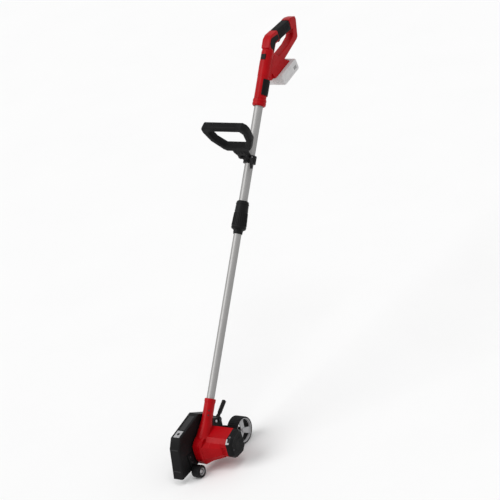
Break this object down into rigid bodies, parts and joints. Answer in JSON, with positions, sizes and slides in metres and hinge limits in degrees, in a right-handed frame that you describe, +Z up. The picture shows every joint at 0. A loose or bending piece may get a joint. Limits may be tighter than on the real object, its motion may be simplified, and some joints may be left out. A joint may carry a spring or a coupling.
{
  "type": "cordless lawn edger",
  "caption": "Walk-behind cordless lawn edger: guarded vertical blade, side motor, roller and depth wheel, telescopic tube, tilting loop handle, trigger grip and slide-on battery.",
  "frame": {"origin": "centre of the footprint's bounding box, on the ground under the roller and the rear wheel", "axes": "+Z up; -Y forward, the way the edger is pushed; +X to the side of the motor, -X to the side of the guarded blade"},
  "size_m": [0.207, 1.128, 1.1341],
  "materials": {
    "red_plastic": "satin moulded plastic, fine grain",
    "black_plastic": "matt moulded plastic, fine grain",
    "soft_black": "soft overmould",
    "tyre_black": "ribbed rubber tread",
    "grey_hub": "moulded grey plastic",
    "pale_battery": "pale moulded plastic",
    "tube_grey": "drawn tube, lightly brushed",
    "steel": "plated steel",
    "dark_steel": "darkened steel",
    "brass": "sintered bearing",
    "circuit_board": "lacquered board"
  },
  "bodies": {
    "machine": {"head_housing_left": "red_plastic", "head_housing_right": "red_plastic", "motor_end_cap": "black_plastic", "end_cap_screw_1": "steel", "end_cap_screw_2": "steel", "motor_can": "dark_steel", "motor_rear_bearing": "brass", "gear_plate": "steel", "spindle_bearing_inner": "steel", "spindle_bearing_outer": "steel", "blade_guard": "black_plastic", "guard_plate": "steel", "guard_screw_1": "steel", "guard_screw_2": "steel", "roller_bracket": "black_plastic", "roller_bolt": "steel", "bracket_screw_1": "steel", "bracket_screw_2": "steel", "depth_bracket": "black_plastic", "depth_pivot_bolt": "steel", "depth_stop_bolt": "steel", "lower_tube": "tube_grey", "tube_screw_1": "steel", "tube_screw_2": "steel"},
    "blade": {"blade_spindle": "steel", "drive_gear": "steel", "blade_flange": "steel", "edger_blade": "dark_steel", "blade_nut": "steel"},
    "rotor": {"motor_rotor": "steel", "motor_fan": "black_plastic", "pinion": "steel"},
    "roller": {"front_roller": "black_plastic"},
    "depth_arm": {"swing_arm": "black_plastic", "depth_lever": "black_plastic", "wheel_axle": "steel"},
    "rear_wheel": {"wheel_hub": "grey_hub", "wheel_tyre": "tyre_black", "wheel_cap": "grey_hub"},
    "telescope": {"upper_tube": "tube_grey", "tube_collet": "black_plastic", "handle_collar": "red_plastic", "handle_shell_left": "red_plastic", "handle_shell_right": "red_plastic", "grip_cover": "soft_black", "trigger_pin": "steel", "switch_body": "black_plastic", "control_board": "circuit_board", "handle_plaque": "black_plastic", "terminal_block": "black_plastic"},
    "sleeve": {"locking_sleeve": "black_plastic"},
    "aux_clamp": {"aux_clamp": "black_plastic"},
    "aux_loop": {"aux_handle": "soft_black", "aux_bolt": "steel"},
    "aux_lever": {"aux_lever": "black_plastic"},
    "trigger": {"trigger": "black_plastic"},
    "lock_button": {"lock_button": "black_plastic"},
    "battery": {"battery_pack": "pale_battery"},
    "battery_button": {"battery_button": "red_plastic"}
  },
  "joints": [
    {"name": "blade_spin", "type": "hinge", "parent": "machine", "child": "blade", "pos_m": [-0.0145, -0.43498, 0.07], "axis": [1, 0, 0], "continuous": true},
    {"name": "rotor_spin", "type": "hinge", "parent": "machine", "child": "rotor", "pos_m": [-0.0145, -0.41778, 0.07876], "axis": [1, 0, 0], "continuous": true},
    {"name": "roller_spin", "type": "hinge", "parent": "machine", "child": "roller", "pos_m": [-0.0145, -0.50198, 0.0205], "axis": [1, 0, 0], "continuous": true},
    {"name": "depth_tilt", "type": "hinge", "parent": "machine", "child": "depth_arm", "pos_m": [-0.0145, -0.35398, 0.12], "axis": [1, 0, 0], "range_deg": [-15, 20]},
    {"name": "rear_wheel_spin", "type": "hinge", "parent": "depth_arm", "child": "rear_wheel", "pos_m": [-0.0145, -0.28998, 0.045], "axis": [1, 0, 0], "continuous": true},
    {"name": "telescope_slide", "type": "slide", "parent": "machine", "child": "telescope", "axis": [0, 0.6441, 0.7649], "range_m": [-0.2, 0]},
    {"name": "sleeve_twist", "type": "hinge", "parent": "telescope", "child": "sleeve", "pos_m": [-0.0155, 0.02714, 0.64828], "axis": [0, 0.6441, 0.7649], "range_deg": [-90, 0]},
    {"name": "aux_slide", "type": "slide", "parent": "telescope", "child": "aux_clamp", "axis": [0, 0.6441, 0.7649], "range_m": [-0.08, 0.1]},
    {"name": "aux_tilt", "type": "hinge", "parent": "aux_clamp", "child": "aux_loop", "pos_m": [-0.0155, 0.13467, 0.81789], "axis": [1, 0, 0], "range_deg": [-30, 30]},
    {"name": "aux_lever_turn", "type": "hinge", "parent": "aux_loop", "child": "aux_lever", "pos_m": [-0.0155, 0.13467, 0.81789], "axis": [-1, 0, 0], "range_deg": [0, 60]},
    {"name": "trigger_pull", "type": "hinge", "parent": "telescope", "child": "trigger", "pos_m": [-0.0155, 0.47254, 1.09903], "axis": [-1, 0, 0], "range_deg": [0, 14], "stiffness_Nm_per_rad": 0.3},
    {"name": "lock_press", "type": "slide", "parent": "telescope", "child": "lock_button", "axis": [0, 0.7649, -0.6441], "range_m": [0, 0.0025], "stiffness_N_per_m": 300},
    {"name": "battery_slide", "type": "slide", "parent": "telescope", "child": "battery", "axis": [0, 0.9816, 0.1908], "range_m": [0, 0.09]},
    {"name": "battery_button_press", "type": "slide", "parent": "battery", "child": "battery_button", "axis": [0, -0.9816, -0.1908], "range_m": [0, 0.0025], "stiffness_N_per_m": 300}
  ],
  "couplings": [
    {"joint": "rotor_spin", "follows": "blade_spin", "ratio": -3.2222}
  ]
}
